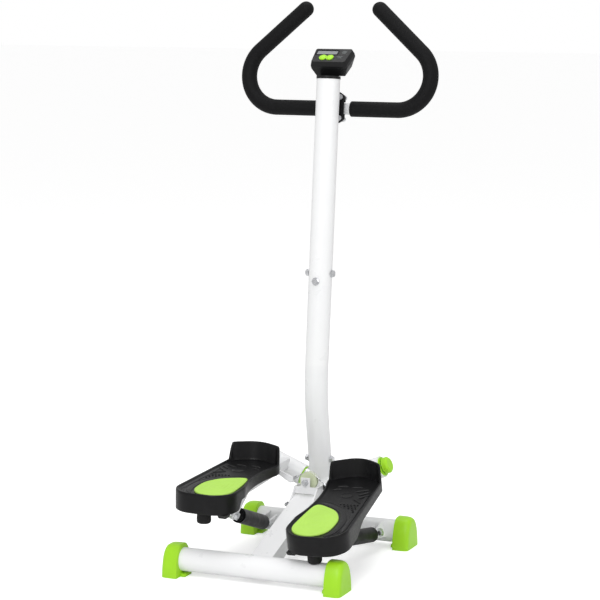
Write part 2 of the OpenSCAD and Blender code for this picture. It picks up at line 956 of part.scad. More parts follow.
module pedal_tray() {
    color(colour_black) pedal_frame() difference() {
        union() {
            difference() {
                tray_block(0, -tray_drop, rim_h);
                tray_block(wall_t, 0, rim_h + over);
                tray_block(wall_t, -tray_drop - over, -sole_t);
                wall_cut(-150, 0, wall_in[0], wall_in[1]);
                wall_cut(-over, 150, wall_out[0], wall_out[1]);
            }
            intersection() {
                difference() {
                    tray_block(0, 0, toe_h);
                    tray_block(wall_t + 1, -over, toe_h + over);
                }
                translate([-100, toe_y, -over]) cube([200, 60, toe_h + 2 * over]);
            }
            rod(bump_r + 3, -tray_drop + 3, -sole_t + over);
            intersection() {
                tray_block(1, -tray_drop, -sole_t + over);
                stop_block(-tray_drop, -sole_t + over);
            }
        }
        rod(bump_r - 4, -tray_drop - over, -sole_t - 2);
        screw_holes(3.2, plate_top - over, -1.2);
        translate([arm_x0 - 1, 230, -tray_drop - over])
            cube([arm_w + 2, 100, tray_drop + over + arm_z0 + arm_h + 1]);
    }
}

module pad_outline(inset) {
    hull() {
        translate([-11, 27]) circle(r = 43 - inset, $fn = 64);
        translate([-9, 62]) circle(r = 42 - inset, $fn = 64);
        translate([-14, 86]) circle(r = 36 - inset, $fn = 64);
        translate([-38, 134]) circle(r = 6 - inset, $fn = 24);
    }
}

module foot_pad() {
    color(colour_pad) pedal_frame() {
        translate([0, 0, eps]) linear_extrude(2.2) pad_outline(0);
        translate([0, 0, 2.2]) linear_extrude(1) pad_outline(2);
    }
}

module bumper() {
    color(colour_black) pedal_frame() {
        rod(bump_r - 4 - eps, -tray_drop + 2, -sole_t - 4);
        rod(bump_r, bump_z + 3, -tray_drop + 3 - eps);
        translate([0, 0, bump_z]) cylinder(r1 = bump_r - 3, r2 = bump_r, h = 3);
    }
}

module arm_box(inset, y0, y1) {
    translate([arm_x0 + inset, y0, arm_z0 + inset])
        cube([arm_w - 2 * inset, y1 - y0, arm_h - 2 * inset]);
}

module arm() {
    color(colour_white) difference() {
        union() {
            pedal_frame() {
                arm_box(0, arm_y0, arm_y1);
                for (y = plate_y) translate([arm_x0 + 2, y - 18, arm_z0 + arm_h - eps])
                    cube([plate_x1 - arm_x0 - 2, 36, plate_t + eps]);
            }
            pivot_frame() xrod(hub_r, hub_in, hub_out);
            ear_pair() {
                translate([low_y, low_z]) circle(r = eye_r, $fn = 32);
                translate([low_y - 8, low_z + 48]) square([26, 4]);
            }
            hull() {
                translate([pin_low[0], pul_y + 2.5, pin_low[1]]) rotate([90, 0, 0])
                    cylinder(r = eye_out, h = 5);
                pedal_frame() translate([arm_x0 + 0.5, tab_y, arm_z0 + 3])
                    cube([1, 6, 8]);
            }
        }
        pedal_frame() {
            arm_box(wall, arm_y0 - over, arm_y1 - 32);
            for (x = screw_x, y = plate_y) translate([x, y, 0]) rod(3.4, -40, 20);
        }
        pivot_frame() {
            xrod(bush_r + eps, hub_in - over, hub_out + over);
            translate([0, low_y, low_z]) xrod(pin_r + eps, 50, 130);
            translate([hub_out, -40, -40]) cube([60, 80, 80]);
            translate([hub_in - 60, -40, -40]) cube([60, 80, 80]);
        }
    }
}

// Rubber stop under the inner heel corner of the tray
module heel_stop() {
    top = -tray_drop - eps;
    color(colour_black) pedal_frame() hull() {
        stop_block(top - 1, top);
        stop_block(stop_z, stop_z + 1, 2);
    }
}

module pedal_screws() {
    color(colour_steel) pedal_frame() for (x = screw_x, y = plate_y)
        translate([x, y, plate_top - plate_t]) {
            rod(3, -1, 7.5);
            translate([0, 0, -4.1]) hex(10, 4);
        }
}

module pivot_bushes() {
    color(colour_lime) pivot_frame() for (side = [0, 1])
        translate([side * (hub_in + hub_out), 0, 0]) mirror([side, 0, 0]) difference() {
            union() {
                xrod(bush_r, hub_in - 0.5, hub_in + 30);
                xrod(21, hub_in - flange_t, hub_in - eps);
            }
            xrod(axle_r + run_gap, 40, 100);
        }
}

module sensor_magnet() {
    color(colour_steel) pedal_frame() translate([arm_x0 - 4 - eps, 312, arm_z0 + 8])
        cube([4, 12, 6]);
}

module left_arm() {
    left_raised() arm();
}

module right_arm() {
    arm();
}

module left_pedal_tray() {
    left_raised() pedal_tray();
}

module right_pedal_tray() {
    pedal_tray();
}

module left_foot_pad() {
    left_raised() foot_pad();
}

module right_foot_pad() {
    foot_pad();
}

module left_bumper() {
    left_raised() bumper();
}

module right_bumper() {
    bumper();
}

module left_heel_stop() {
    left_raised() heel_stop();
}

module right_heel_stop() {
    heel_stop();
}

module left_pedal_screws() {
    left_raised() pedal_screws();
}

module right_pedal_screws() {
    pedal_screws();
}

module left_pivot_bushes() {
    left_raised() pivot_bushes();
}

module right_pivot_bushes() {
    pivot_bushes();
}

rear_stabilizer_tube();
front_stabilizer_tube();
main_beam();
post_tube();
left_pivot_axle();
right_pivot_axle();
rear_end_caps();
front_end_caps();
cylinder_brackets();
cylinder_pins();
pulley_bracket();
bracket_bolts();
cable_pulley();
pedal_cable();
lower_column();
upper_column();
column_bolts();
column_nuts();
handlebar_tube();
left_grip();
right_grip();
handlebar_saddle();
handlebar_clamp();
clamp_bolts();
clamp_nuts();
column_cap();
console_base();
console_cover();
display_lens();
lcd_panel();
console_button();
circuit_board();
button_cell();
battery_door();
sensor_lead();
reed_sensor();
sensor_magnet();
left_arm();
right_arm();
left_pedal_tray();
right_pedal_tray();
left_foot_pad();
right_foot_pad();
left_bumper();
right_bumper();
left_heel_stop();
right_heel_stop();
left_pedal_screws();
right_pedal_screws();
left_pivot_bushes();
right_pivot_bushes();
pivot_nuts();
pivot_caps();
left_cylinder();
right_cylinder();
left_piston_rod();
right_piston_rod();
left_rod_pin();
right_rod_pin();
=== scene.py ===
"""Twist stepper: materials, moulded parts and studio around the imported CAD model.

Shapes are drawn in millimetres and scaled by MM, because the frame is in metres.
"""
import json
import math

import bmesh
import bpy
from mathutils import Matrix, Vector


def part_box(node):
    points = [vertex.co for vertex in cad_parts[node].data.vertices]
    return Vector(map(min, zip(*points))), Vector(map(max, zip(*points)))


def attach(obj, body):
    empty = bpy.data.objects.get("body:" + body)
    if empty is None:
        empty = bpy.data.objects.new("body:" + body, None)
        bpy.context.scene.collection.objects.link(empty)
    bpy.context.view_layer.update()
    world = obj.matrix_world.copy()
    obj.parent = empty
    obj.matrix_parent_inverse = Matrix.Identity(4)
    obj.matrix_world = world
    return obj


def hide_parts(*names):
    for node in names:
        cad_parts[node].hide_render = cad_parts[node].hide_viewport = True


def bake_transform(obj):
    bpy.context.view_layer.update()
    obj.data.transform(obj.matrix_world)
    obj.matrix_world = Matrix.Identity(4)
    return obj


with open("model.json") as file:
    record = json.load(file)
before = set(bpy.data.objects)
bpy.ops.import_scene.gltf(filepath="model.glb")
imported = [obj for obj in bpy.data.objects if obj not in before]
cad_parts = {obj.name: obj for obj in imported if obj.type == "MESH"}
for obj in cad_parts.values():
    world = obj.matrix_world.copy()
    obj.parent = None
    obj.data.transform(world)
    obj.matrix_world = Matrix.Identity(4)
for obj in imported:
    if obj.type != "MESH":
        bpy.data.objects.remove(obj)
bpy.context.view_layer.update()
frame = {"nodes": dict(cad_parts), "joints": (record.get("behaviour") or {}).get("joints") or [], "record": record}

MM = 0.001
joints = {j["name"]: j for j in frame["joints"]}

# ------------------------------------------------------------------ places shared by both sides

PEDAL_AT = Vector((133, -211.1, 122)) * MM
PEDAL_YAW, PEDAL_PITCH, PEDAL_ROLL = (math.radians(a) for a in (2, 11, -1.6))
PEDAL = (Matrix.Translation(PEDAL_AT) @ Matrix.Rotation(PEDAL_YAW, 4, "Z")
         @ Matrix.Rotation(PEDAL_PITCH, 4, "X") @ Matrix.Rotation(PEDAL_ROLL, 4, "Y"))
MIRROR = Matrix.Scale(-1, 4, (1, 0, 0))


def joint_turn(name, degrees):
    """The matrix that turns a body about a CAD hinge."""
    at, axis = Vector(joints[name]["pos_m"]), Vector(joints[name]["axis"])
    turn = Matrix.Rotation(math.radians(degrees), 4, axis)
    return Matrix.Translation(at) @ turn @ Matrix.Translation(-at)


RAISE = joint_turn("right_step", joints["right_step"]["range_deg"][1])
SIDES = {"right": Matrix.Identity(4), "left": MIRROR @ RAISE}

# ------------------------------------------------------------------ mesh helpers


def add_to_scene(name, data):
    obj = bpy.data.objects.new(name, data)
    bpy.context.scene.collection.objects.link(obj)
    return obj


def new_object(name, bm, matrix=Matrix.Identity(4), smooth=40, material=None):
    """Makes an object from a bmesh given in millimetres, placed by a matrix in metres."""
    bm.transform(Matrix.Scale(MM, 4))
    bm.transform(matrix)
    bmesh.ops.recalc_face_normals(bm, faces=bm.faces)
    mesh = bpy.data.meshes.new(name)
    bm.to_mesh(mesh)
    bm.free()
    obj = add_to_scene(name, mesh)
    shade(obj, smooth)
    if material:
        obj.data.materials.append(material)
    return obj


def shade(obj, degrees):
    """Smooth shading, with edges sharper than an angle kept crisp."""
    mesh = obj.data
    mesh.shade_smooth()
    limit = math.radians(degrees)
    bm = bmesh.new()
    bm.from_mesh(mesh)
    for edge in bm.edges:
        edge.smooth = len(edge.link_faces) != 2 or edge.calc_face_angle(0) < limit
    bm.to_mesh(mesh)
    bm.free()


def add_bevel(obj, width):
    mod = obj.modifiers.new("edge", "BEVEL")
    mod.width = width
    mod.segments = 2
    mod.limit_method = "ANGLE"
    mod.angle_limit = math.radians(35)
    mod.harden_normals = True


def bridge(bm, low, high):
    """Joins two closed rings of vertices with quads."""
    count = len(low)
    for i in range(count):
        k = (i + 1) % count
        bm.faces.new((low[i], low[k], high[k], high[i]))


def loft(bm, rings, caps=True):
    """Joins closed rings of points with quads. Each ring holds the same number of points."""
    rows = [[bm.verts.new(p) for p in ring] for ring in rings]
    for low, high in zip(rows, rows[1:]):
        bridge(bm, low, high)
    if caps:
        bm.faces.new(rows[0])
        bm.faces.new(list(reversed(rows[-1])))
    return rows


def circle(radius, count, z, at=(0, 0)):
    """A ring of points around the z axis, or around another point."""
    turns = [2 * math.pi * i / count for i in range(count)]
    return [(at[0] + radius * math.cos(a), at[1] + radius * math.sin(a), z) for a in turns]


def revolve(bm, profile, count=48):
    """A turned solid along z from a profile of (radius, height) pairs."""
    loft(bm, [circle(r, count, z) for r, z in profile])


def tangent_at(path, i):
    """Direction of an open path of vectors at one of its points."""
    return (path[min(i + 1, len(path) - 1)] - path[max(i - 1, 0)]).normalized()


def tube_path(bm, path, radius, count):
    """A round bead along an open path of vectors. The radius is a number, or a function of the index."""
    rings = []
    side = None
    for i, p in enumerate(path):
        tangent = tangent_at(path, i)
        if side is None:
            side = tangent.orthogonal().normalized()
        side = (side - tangent * side.dot(tangent)).normalized()
        up = tangent.cross(side)
        r = radius(i) if callable(radius) else radius
        rings.append([p + r * (math.cos(t) * side + math.sin(t) * up)
                      for t in (2 * math.pi * k / count for k in range(count))])
    loft(bm, rings)


def dense(points, step=1.6):
    """An open path through the points, with more points put in at about a step apart."""
    out = []
    for a, b in zip(points, points[1:]):
        count = max(1, round((b - a).length / step))
        out += [a.lerp(b, i / count) for i in range(count)]
    return out + [points[-1]]


def convex(points):
    """Convex outline of 2D points, counterclockwise."""
    pts = sorted(set((round(x, 5), round(y, 5)) for x, y in points))

    def half(seq):
        out = []
        for p in seq:
            while len(out) > 1 and ((out[-1][0] - out[-2][0]) * (p[1] - out[-2][1])
                                    - (out[-1][1] - out[-2][1]) * (p[0] - out[-2][0])) <= 0:
                out.pop()
            out.append(p)
        return out[:-1]

    return half(pts) + half(reversed(pts))


def resample(points, count):
    """A closed outline as evenly spaced points."""
    pts = [Vector(p) for p in points]
    ends = pts[1:] + pts[:1]
    steps = [(b - a).length for a, b in zip(pts, ends)]
    total = sum(steps)
    out, i, done = [], 0, 0.0
    for k in range(count):
        want = total * k / count
        while done + steps[i] < want:
            done += steps[i]
            i += 1
        out.append(pts[i].lerp(ends[i], (want - done) / steps[i]))
    return out


def smooth_loop(points, passes):
    """Rounds a closed outline by averaging each point with its neighbours."""
    pts = list(points)
    n = len(pts)
    for _ in range(passes):
        pts = [(pts[i - 1] + 2 * pts[i] + pts[(i + 1) % n]) / 4 for i in range(n)]
    return pts


def inset(points, distance):
    """Moves each point of a counterclockwise outline inward."""
    n = len(points)
    out = []
    for i in range(n):
        t = (points[(i + 1) % n] - points[i - 1]).normalized()
        out.append(points[i] + Vector((-t.y, t.x)) * distance)
    return out


def arc(cx, cy, r, a0=0, a1=360, count=48):
    """Points on a circle from one angle to another, in degrees."""
    angles = [math.radians(a0 + (a1 - a0) * i / count) for i in range(count + 1)]
    return [(cx + r * math.cos(a), cy + r * math.sin(a)) for a in angles]


def ease(t):
    """A smooth step from 0 to 1."""
    t = max(0.0, min(1.0, t))
    return t * t * (3 - 2 * t)


def finish_piece(obj, body, slot, *nodes):
    """Puts a piece on its body. The slot argument is not used. The nodes it stands for are hidden."""
    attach(obj, body)
    if nodes:
        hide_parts(*nodes)


# ------------------------------------------------------------------ materials

WHITE = (0.86, 0.865, 0.875)
LIME = (0.36, 0.72, 0.018)
PAD_LIME = (0.45, 0.75, 0.11)
BLACK = (0.006, 0.006, 0.0065)
STEEL = (0.62, 0.63, 0.65)


def surface(name, colour, rough=0.4, metal=0.0, grain=(900, 0.1), mottle=(40, 0.03), edge_wear_and_highlight=None,
            coat=0.0, sheen=0.0, rough_spread=0.08, bump_distance=0.0002, shine=0.5):
    """A procedural surface: mottled colour, uneven roughness, fine grain and tinted convex edges (wear; a painted
    highlight on the white steel and the pad).
    """
    mat = bpy.data.materials.new(name)
    mat.use_nodes = True
    tree = mat.node_tree
    nodes, links = tree.nodes, tree.links
    shader = nodes["Principled BSDF"]
    coords = nodes.new("ShaderNodeTexCoord")

    def noise(scale, detail):
        tex = nodes.new("ShaderNodeTexNoise")
        tex.inputs["Scale"].default_value = scale
        tex.inputs["Detail"].default_value = detail
        links.new(coords.outputs["Object"], tex.inputs["Vector"])
        return tex.outputs["Fac"]

    def spread(source, low, high):
        node = nodes.new("ShaderNodeMapRange")
        node.inputs["From Min"].default_value = 0.3
        node.inputs["From Max"].default_value = 0.7
        node.inputs["To Min"].default_value = low
        node.inputs["To Max"].default_value = high
        links.new(source, node.inputs["Value"])
        return node.outputs["Result"]

    def blend_colour(factor, a, b):
        node = nodes.new("ShaderNodeMix")
        node.data_type = "RGBA"
        links.new(factor, node.inputs["Factor"])
        for socket, value in ((node.inputs[6], a), (node.inputs[7], b)):
            if isinstance(value, tuple):
                socket.default_value = (*value, 1)
            else:
                links.new(value, socket)
        return node.outputs[2]

    dark = tuple(c * (1 - mottle[1]) for c in colour)
    light = tuple(min(1, c * (1 + mottle[1])) for c in colour)
    tint = blend_colour(spread(noise(mottle[0], 4), 0, 1), dark, light)
    # convex edges found by pointiness take the edge colour: on the white steel and the pad this paler colour is a
    # painted highlight
    if edge_wear_and_highlight:
        edge_colour, amount = edge_wear_and_highlight
        geometry = nodes.new("ShaderNodeNewGeometry")
        point = nodes.new("ShaderNodeMapRange")
        point.inputs["From Min"].default_value = 0.53
        point.inputs["From Max"].default_value = 0.62
        point.inputs["To Max"].default_value = amount
        links.new(geometry.outputs["Pointiness"], point.inputs["Value"])
        tint = blend_colour(point.outputs["Result"], tint, edge_colour)
    links.new(tint, shader.inputs["Base Color"])
    links.new(spread(noise(mottle[0] * 3, 3), rough - rough_spread, rough + rough_spread),
              shader.inputs["Roughness"])
    bump = nodes.new("ShaderNodeBump")
    bump.inputs["Strength"].default_value = grain[1]
    bump.inputs["Distance"].default_value = bump_distance
    links.new(noise(grain[0], 2), bump.inputs["Height"])
    links.new(bump.outputs["Normal"], shader.inputs["Normal"])
    shader.inputs["Metallic"].default_value = metal
    shader.inputs["Coat Weight"].default_value = coat
    shader.inputs["Coat Roughness"].default_value = 0.08
    shader.inputs["Sheen Weight"].default_value = sheen
    shader.inputs["Specular IOR Level"].default_value = shine
    mat.diffuse_color = (*colour, 1)
    return mat


mats = {
    # white steel: the paler colour on its convex edges is a painted highlight
    "white_steel": surface("white_powder_coat", WHITE, rough=0.34, grain=(650, 0.1), mottle=(9, 0.012),
                           coat=0.2, edge_wear_and_highlight=((0.93, 0.93, 0.93), 0.4)),
    "lime_plastic": surface("lime_moulded_plastic", LIME, rough=0.36, grain=(1500, 0.04),
                            mottle=(30, 0.02), edge_wear_and_highlight=((0.36, 0.68, 0.04), 0.2), rough_spread=0.04,
                            shine=0.35),
    # lime pad: the pale colour on the convex lip is a painted highlight on its rim
    "lime_pad": surface("lime_soft_pad", PAD_LIME, rough=0.6, grain=(2200, 0.15), mottle=(25, 0.03),
                        edge_wear_and_highlight=((0.52, 0.76, 0.24), 0.5), shine=0.3),
    "black_plastic": surface("black_textured_plastic", BLACK, rough=0.34, grain=(1900, 0.2),
                             mottle=(60, 0.2), edge_wear_and_highlight=((0.02, 0.02, 0.021), 0.6), rough_spread=0.06,
                             shine=0.2),
    "black_barrel": surface("black_gloss_paint", (0.005, 0.005, 0.006), rough=0.42, grain=(500, 0.02),
                            mottle=(20, 0.1), edge_wear_and_highlight=((0.012, 0.012, 0.013), 0.4), shine=0.14),
    "zinc_steel": surface("zinc_plate", STEEL, rough=0.28, metal=1.0, grain=(1400, 0.08),
                          mottle=(120, 0.12), edge_wear_and_highlight=((0.8, 0.8, 0.82), 0.5)),
    "black_foam": surface("closed_cell_foam", BLACK, rough=0.6, grain=(1300, 0.45),
                          mottle=(220, 0.25), sheen=0.01, rough_spread=0.05, bump_distance=0.0004,
                          shine=0.12),
    "black_rubber": surface("moulded_rubber", (0.010, 0.010, 0.010), rough=0.6, grain=(1100, 0.3),
                            mottle=(90, 0.15), edge_wear_and_highlight=((0.04, 0.04, 0.04), 0.5), shine=0.2),
    "lead_jacket": surface("cable_jacket", (0.015, 0.015, 0.015), rough=0.45, grain=(900, 0.2),
                           mottle=(80, 0.1), shine=0.3),
    "nylon": surface("natural_nylon", (0.66, 0.72, 0.5), rough=0.4, grain=(900, 0.15), mottle=(60, 0.05)),
    "lens": surface("clear_window", (0.05, 0.06, 0.07), rough=0.06, grain=(300, 0.01), mottle=(40, 0.02),
                    rough_spread=0.02, coat=0.4),
    "lcd": surface("lcd_glass", (0.17, 0.19, 0.19), rough=0.12, grain=(300, 0.01), mottle=(90, 0.04),
                   rough_spread=0.02),
    "board": surface("solder_mask", (0.02, 0.16, 0.06), rough=0.35, grain=(700, 0.1), mottle=(150, 0.2)),
}
# Bevel widths of the CAD pieces, in metres
EDGE = {"white_steel": 0.0006, "zinc_steel": 0.0004, "black_barrel": 0.0008, "black_plastic": 0.0006,
        "lime_plastic": 0.0008, "black_rubber": 0.001, "nylon": 0.0004}

slots = {s["node"]: s["material_slot"] for s in frame["record"]["subparts"]}
for node, obj in frame["nodes"].items():
    slot = slots[node]
    obj.data.materials.clear()
    obj.data.materials.append(mats[slot])
    if slot in EDGE:
        add_bevel(obj, EDGE[slot])

# ------------------------------------------------------------------ pedal trays

TRAY_POINTS = 360
HEEL_AND_TOE = ((-15, 24, 49), (22, 24, 49), (-35, 262, 26), (33, 262, 26), (0, 248, 55))  # x, y, radius
WAIST, WAIST_R = Vector((-393, 165)), 343.0
DROP, RIM, SOLE, TOE = 39.0, 4.0, 5.0, 40.0
WALL_DROP, TOE_DROP, WALL_END = 20.0, 18.0, 340.0
WALL_INNER, WALL_OUTER = (34.0, 54.0), (62.0, 128.0)  # where the wall grows shallow, along y
ARM_X0, ARM_X1, ARM_Y, NOTCH_Z = -44.0, -12.0, 236.0, -8.0
STOP_X0, STOP_X1, STOP_Y = -56.0, -36.0, 8.0
TOE_START, TOE_FULL = 262.0, 276.0


def tray_outline():
    """Foot-shaped outline: wide round heel, waist on the inner side, narrower toe."""
    pts = []
    for x, y, r in HEEL_AND_TOE:
        pts += arc(x, y, r, count=96)
    loop = resample([Vector(p) for p in convex(pts)], TRAY_POINTS)
    for p in loop:
        if (p - WAIST).length < WAIST_R:
            p.x = WAIST.x + math.sqrt(WAIST_R ** 2 - (p.y - WAIST.y) ** 2)
    return smooth_loop(resample(loop, TRAY_POINTS), 6)


OUTLINE = tray_outline()


def tray_ring(distance, height):
    """One ring of the tray: an inset of the outline at a height that may vary with y."""
    return [(p.x, p.y, height(p) if callable(height) else height) for p in inset(OUTLINE, distance)]


def toe(p):
    """How far the toe wall has risen at a point: 0 to 1."""
    return ease((p.y - TOE_START) / (TOE_FULL - TOE_START))


def wall_foot(p):
    """Lower edge of the wall: deep at the heel, shallow ahead of it, raised over the arm at the toe."""
    if ARM_X0 < p.x < ARM_X1 and p.y > ARM_Y:
        return NOTCH_Z
    start, full = WALL_OUTER if p.x > 0 else WALL_INNER
    shallow = WALL_DROP + (TOE_DROP - WALL_DROP) * max(0.0, (p.y - full) / (WALL_END - full))
    return -DROP + (DROP - shallow) * ease((p.y - start) / (full - start))


def bump(bm, x, y, r, h):
    """A low round pip that stands out of the sole."""
    loft(bm, [circle(r * k, 14, z, (x, y)) for k, z in
              ((1.0, -0.6), (1.0, h * 0.45), (0.82, h * 0.85), (0.45, h))])


def ridge(bm, points, width, height):
    """A low rounded rib along a path on the sole, with tapered ends."""
    pts = [Vector((x, y, 0)) for x, y in points]
    rings = []
    for i, p in enumerate(pts):
        t = tangent_at(pts, i)
        n = Vector((-t.y, t.x, 0))
        taper = min(1.0, 0.35 + 6.0 * min(i, len(pts) - 1 - i) / len(pts))
        w = width * taper / 2
        h = height * taper
        rings.append([p + n * w * k + Vector((0, 0, z)) for k, z in
                      ((1, -0.6), (0.8, h * 0.6), (0, h), (-0.8, h * 0.6), (-1, -0.6))])
    loft(bm, rings)


def inside_tray(x, y, margin):
    """True where a point of the sole is at least a margin inside the wall."""
    odd = False
    for a, b in zip(OUTLINE, OUTLINE[1:] + OUTLINE[:1]):
        if (a.y > y) != (b.y > y) and x < a.x + (b.x - a.x) * (y - a.y) / (b.y - a.y):
            odd = not odd
    return odd and min((Vector((x, y)) - p).length for p in OUTLINE[::2]) > margin


PAD_CIRCLES = ((-11, 27, 43), (-9, 62, 42), (-14, 86, 36), (-38, 134, 6))  # x, y, radius


def pad_loop(grow, count):
    """Teardrop outline of the foot pad, grown by a distance."""
    pts = []
    for x, y, r in PAD_CIRCLES:
        pts += arc(x, y, r + grow, count=64)
    return smooth_loop(resample(convex(pts), count), round(14 * (count / 96) ** 2))


PAD_EDGE = pad_loop(0, 60)


def pad_distance(x, y):
    return min((Vector((x, y)) - p).length for p in PAD_EDGE)


# Ribs on the sole under the ball of the foot, each from one point to another
RIBS = (((3, 231), (27, 235)), ((18, 211), (45, 226)), ((30, 196), (50, 213)), ((35, 181), (54, 200)),
        ((26, 175), (52, 154)), ((-30, 232), (-6, 238)), ((-34, 214), (-16, 222)))
PIP_ROWS, PIP_COLS, PIP_STEP_X, PIP_STEP_Y = 13, 9, 7.6, 8.0


def sole_pattern(bm):
    # smooth band that runs round the outer side of the pad, with a rib along its outer edge
    for grow, width, height in ((11.0, 14.0, 1.8), (22.5, 3.0, 0.8)):
        band = [p for p in pad_loop(grow, 160) if inside_tray(p.x, p.y, 8 + width / 2)]
        start = max(range(len(band)), key=lambda i: (band[i] - band[i - 1]).length)
        ridge(bm, band[start:] + band[:start], width, height)
    # field of pips between the band and the outer rim
    for row in range(PIP_ROWS):
        for col in range(PIP_COLS):
            x = 8 + (col + (row % 2) / 2) * PIP_STEP_X
            y = 52 + row * PIP_STEP_Y
            if inside_tray(x, y, 18) and pad_distance(x, y) > 28 and x < 64 - abs(y - 100) * 0.1:
                bump(bm, x, y, 2.3, 1.9)
    # fan of ribs under the ball of the foot, each bowed a little towards the toe
    for a, b in RIBS:
        mid = ((a[0] + b[0]) / 2, (a[1] + b[1]) / 2 + 2)
        ridge(bm, [[(1 - t) ** 2 * a[k] + 2 * t * (1 - t) * mid[k] + t * t * b[k] for k in (0, 1)]
                   for t in (i / 12 for i in range(13))], 4.8, 2.4)
    # shallow round boss that the fan starts from
    bump(bm, 6, 193, 13.0, 1.8)
    # smooth rim strip along the outer wall and round the heel
    rim = sorted((p for p in inset(OUTLINE, 12.5) if p.x > 24 and 8 < p.y < 205), key=lambda p: p.y)
    ridge(bm, rim, 9.0, 1.6)


def pedal_tray(side):
    bm = bmesh.new()
    rings = [
        tray_ring(6.5, -SOLE), tray_ring(5.2, -SOLE - 0.4), tray_ring(4.6, -SOLE - 1.2),
        tray_ring(4.2, lambda p: wall_foot(p) + 0.8),
        tray_ring(3.4, wall_foot), tray_ring(0.9, wall_foot),
        tray_ring(0.15, lambda p: wall_foot(p) + 0.9), tray_ring(0.0, lambda p: wall_foot(p) * 0.5),
        tray_ring(0.0, lambda p: -2 + 2 * toe(p)),
        tray_ring(0.25, lambda p: RIM - 1.8 + (TOE - RIM - 1) * toe(p)),
        tray_ring(1.1, lambda p: RIM - 0.4 + (TOE - RIM) * toe(p)),
        tray_ring(2.4, lambda p: RIM + (TOE - RIM) * toe(p)),
        tray_ring(4.0, lambda p: RIM - 0.4 + (TOE - RIM) * toe(p)),
        tray_ring(5.1, lambda p: RIM - 1.8 + (TOE - RIM - 1) * toe(p)),
        tray_ring(6.4, lambda p: 1.0 + 3 * toe(p)), tray_ring(8.2, 0.0),
    ]
    loft(bm, rings)
    sole_pattern(bm)
    # boss of the bumper and the lug over the heel stop
    revolve(bm, [(19.0, -SOLE + 0.6), (19.0, -35.2), (18.4, -36.0), (12.6, -36.0), (12.2, -35.6),
                 (12.2, -8.0)])
    lug = [(p.x, p.y) for p in inset(OUTLINE, 3.5) if STOP_X0 < p.x < STOP_X1 and p.y < STOP_Y]
    lug = convex(lug + [(STOP_X1, STOP_Y), (min(x for x, y in lug), STOP_Y)])
    loft(bm, [[(x, y, z) for x, y in lug] for z in (-DROP + 0.2, -SOLE + 0.6)])
    obj = new_object(f"{side}_tray_moulding", bm, SIDES[side] @ PEDAL, 38, mats["black_plastic"])
    finish_piece(obj, f"{side}_pedal", "black_plastic", f"{side}_pedal_tray")


def foot_pad(side):
    """Crowned lime pad with a raised lip and shallow contour grooves."""
    bm = bmesh.new()
    count = 120
    steps = [(0.0, 0.1), (0.0, 1.6), (0.5, 2.5), (1.4, 3.0), (2.6, 3.1), (3.6, 2.7), (4.6, 2.2)]
    rings = [[(p.x, p.y, z) for p in pad_loop(-d, count)] for d, z in steps]
    centre = Vector((-12, 52))
    last = pad_loop(-steps[-1][0], count)
    for k in range(1, 22):
        t = k / 22
        z = 2.2 + 0.9 * ease(t) + (-0.7 if k % 5 == 3 else 0.0)
        rings.append([(p.x + (centre.x - p.x) * t, p.y + (centre.y - p.y) * t, z) for p in last])
    loft(bm, rings)
    obj = new_object(f"{side}_pad_moulding", bm, SIDES[side] @ PEDAL, 50, mats["lime_pad"])
    finish_piece(obj, f"{side}_pedal", "lime_pad", f"{side}_foot_pad")


def bumper(side):
    """Turned rubber bumper with a collar, a waist and a rounded nose."""
    bm = bmesh.new()
    nose = -63.1
    profile = [(11.9, -9.5), (11.9, -36.2), (15.9, -36.2), (15.9, -39.4), (15.2, -40.2), (14.8, -44),
               (15.0, -52), (15.2, -57), (14.9, -59.6), (13.8, -61.7), (12.0, -62.8),
               (9.5, nose), (3.0, nose)]
    revolve(bm, profile, 56)
    obj = new_object(f"{side}_bumper_moulding", bm, SIDES[side] @ PEDAL, 30, mats["black_rubber"])
    finish_piece(obj, f"{side}_pedal", "black_rubber", f"{side}_bumper")


for side in SIDES:
    pedal_tray(side)
    foot_pad(side)
    bumper(side)

# ------------------------------------------------------------------ end caps

CAP_FOOT, CAP_TOP, CAP_LEN, CAP_END, TUBE_Z = 37.0, 68.0, 36.0, 201.0, 34.2
# Sections of a cap from its inner rim outward: width factor, loss of height, distance
CAP_SECTIONS = ((0.93, 3.0, 0.0), (0.975, 1.2, 0.4), (1.0, 0.0, 1.6), (1.0, 0.0, 16.0),
                (0.995, 0.6, 24.0), (0.975, 2.0, 29.0), (0.94, 4.5, 32.6), (0.88, 8.5, 34.8),
                (0.78, 14.0, 35.8), (0.6, 22.0, 36.0))
TONGUE = ((-17, 0.2), (17, 0.2), (17, 3.5), (14, 6.2), (0, 7.4), (-14, 6.2), (-17, 3.5))  # y, z


def cap_section(scale_y, drop, x, y0, count=48):
    """Arched section of an end cap at one x: flat sole, leaning sides, round crown."""
    pts = []
    for i in range(count + 1):
        a = math.pi * i / count
        c, s = math.cos(a), math.sin(a)
        lean = abs(c) ** 0.62 * (1 if c >= 0 else -1)
        z = (CAP_TOP - drop) * abs(s) ** 0.78
        half = CAP_FOOT * scale_y * (1 - 0.17 * (z / CAP_TOP) ** 1.3)
        pts.append((x, y0 + lean * half, z))
    return pts


def end_caps(name, node):
    low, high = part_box(node)
    y0 = (low.y + high.y) / 2 / MM
    bm = bmesh.new()
    for sign in (1, -1):
        loft(bm, [cap_section(k, drop, sign * (CAP_END - CAP_LEN + dx), y0)
                  for k, drop, dx in CAP_SECTIONS])
        # tongue that reaches inward under the tube
        loft(bm, [[(sign * x, y0 + y * w, z) for y, z in TONGUE]
                  for x, w in ((154.0, 0.86), (155.5, 1.0), (168.0, 1.0))])
    obj = new_object(name, bm, smooth=35, material=mats["lime_plastic"])
    finish_piece(obj, "root", "lime_plastic", node)


end_caps("rear_cap_mouldings", "rear_end_caps")
end_caps("front_cap_mouldings", "front_end_caps")

# ------------------------------------------------------------------ welds

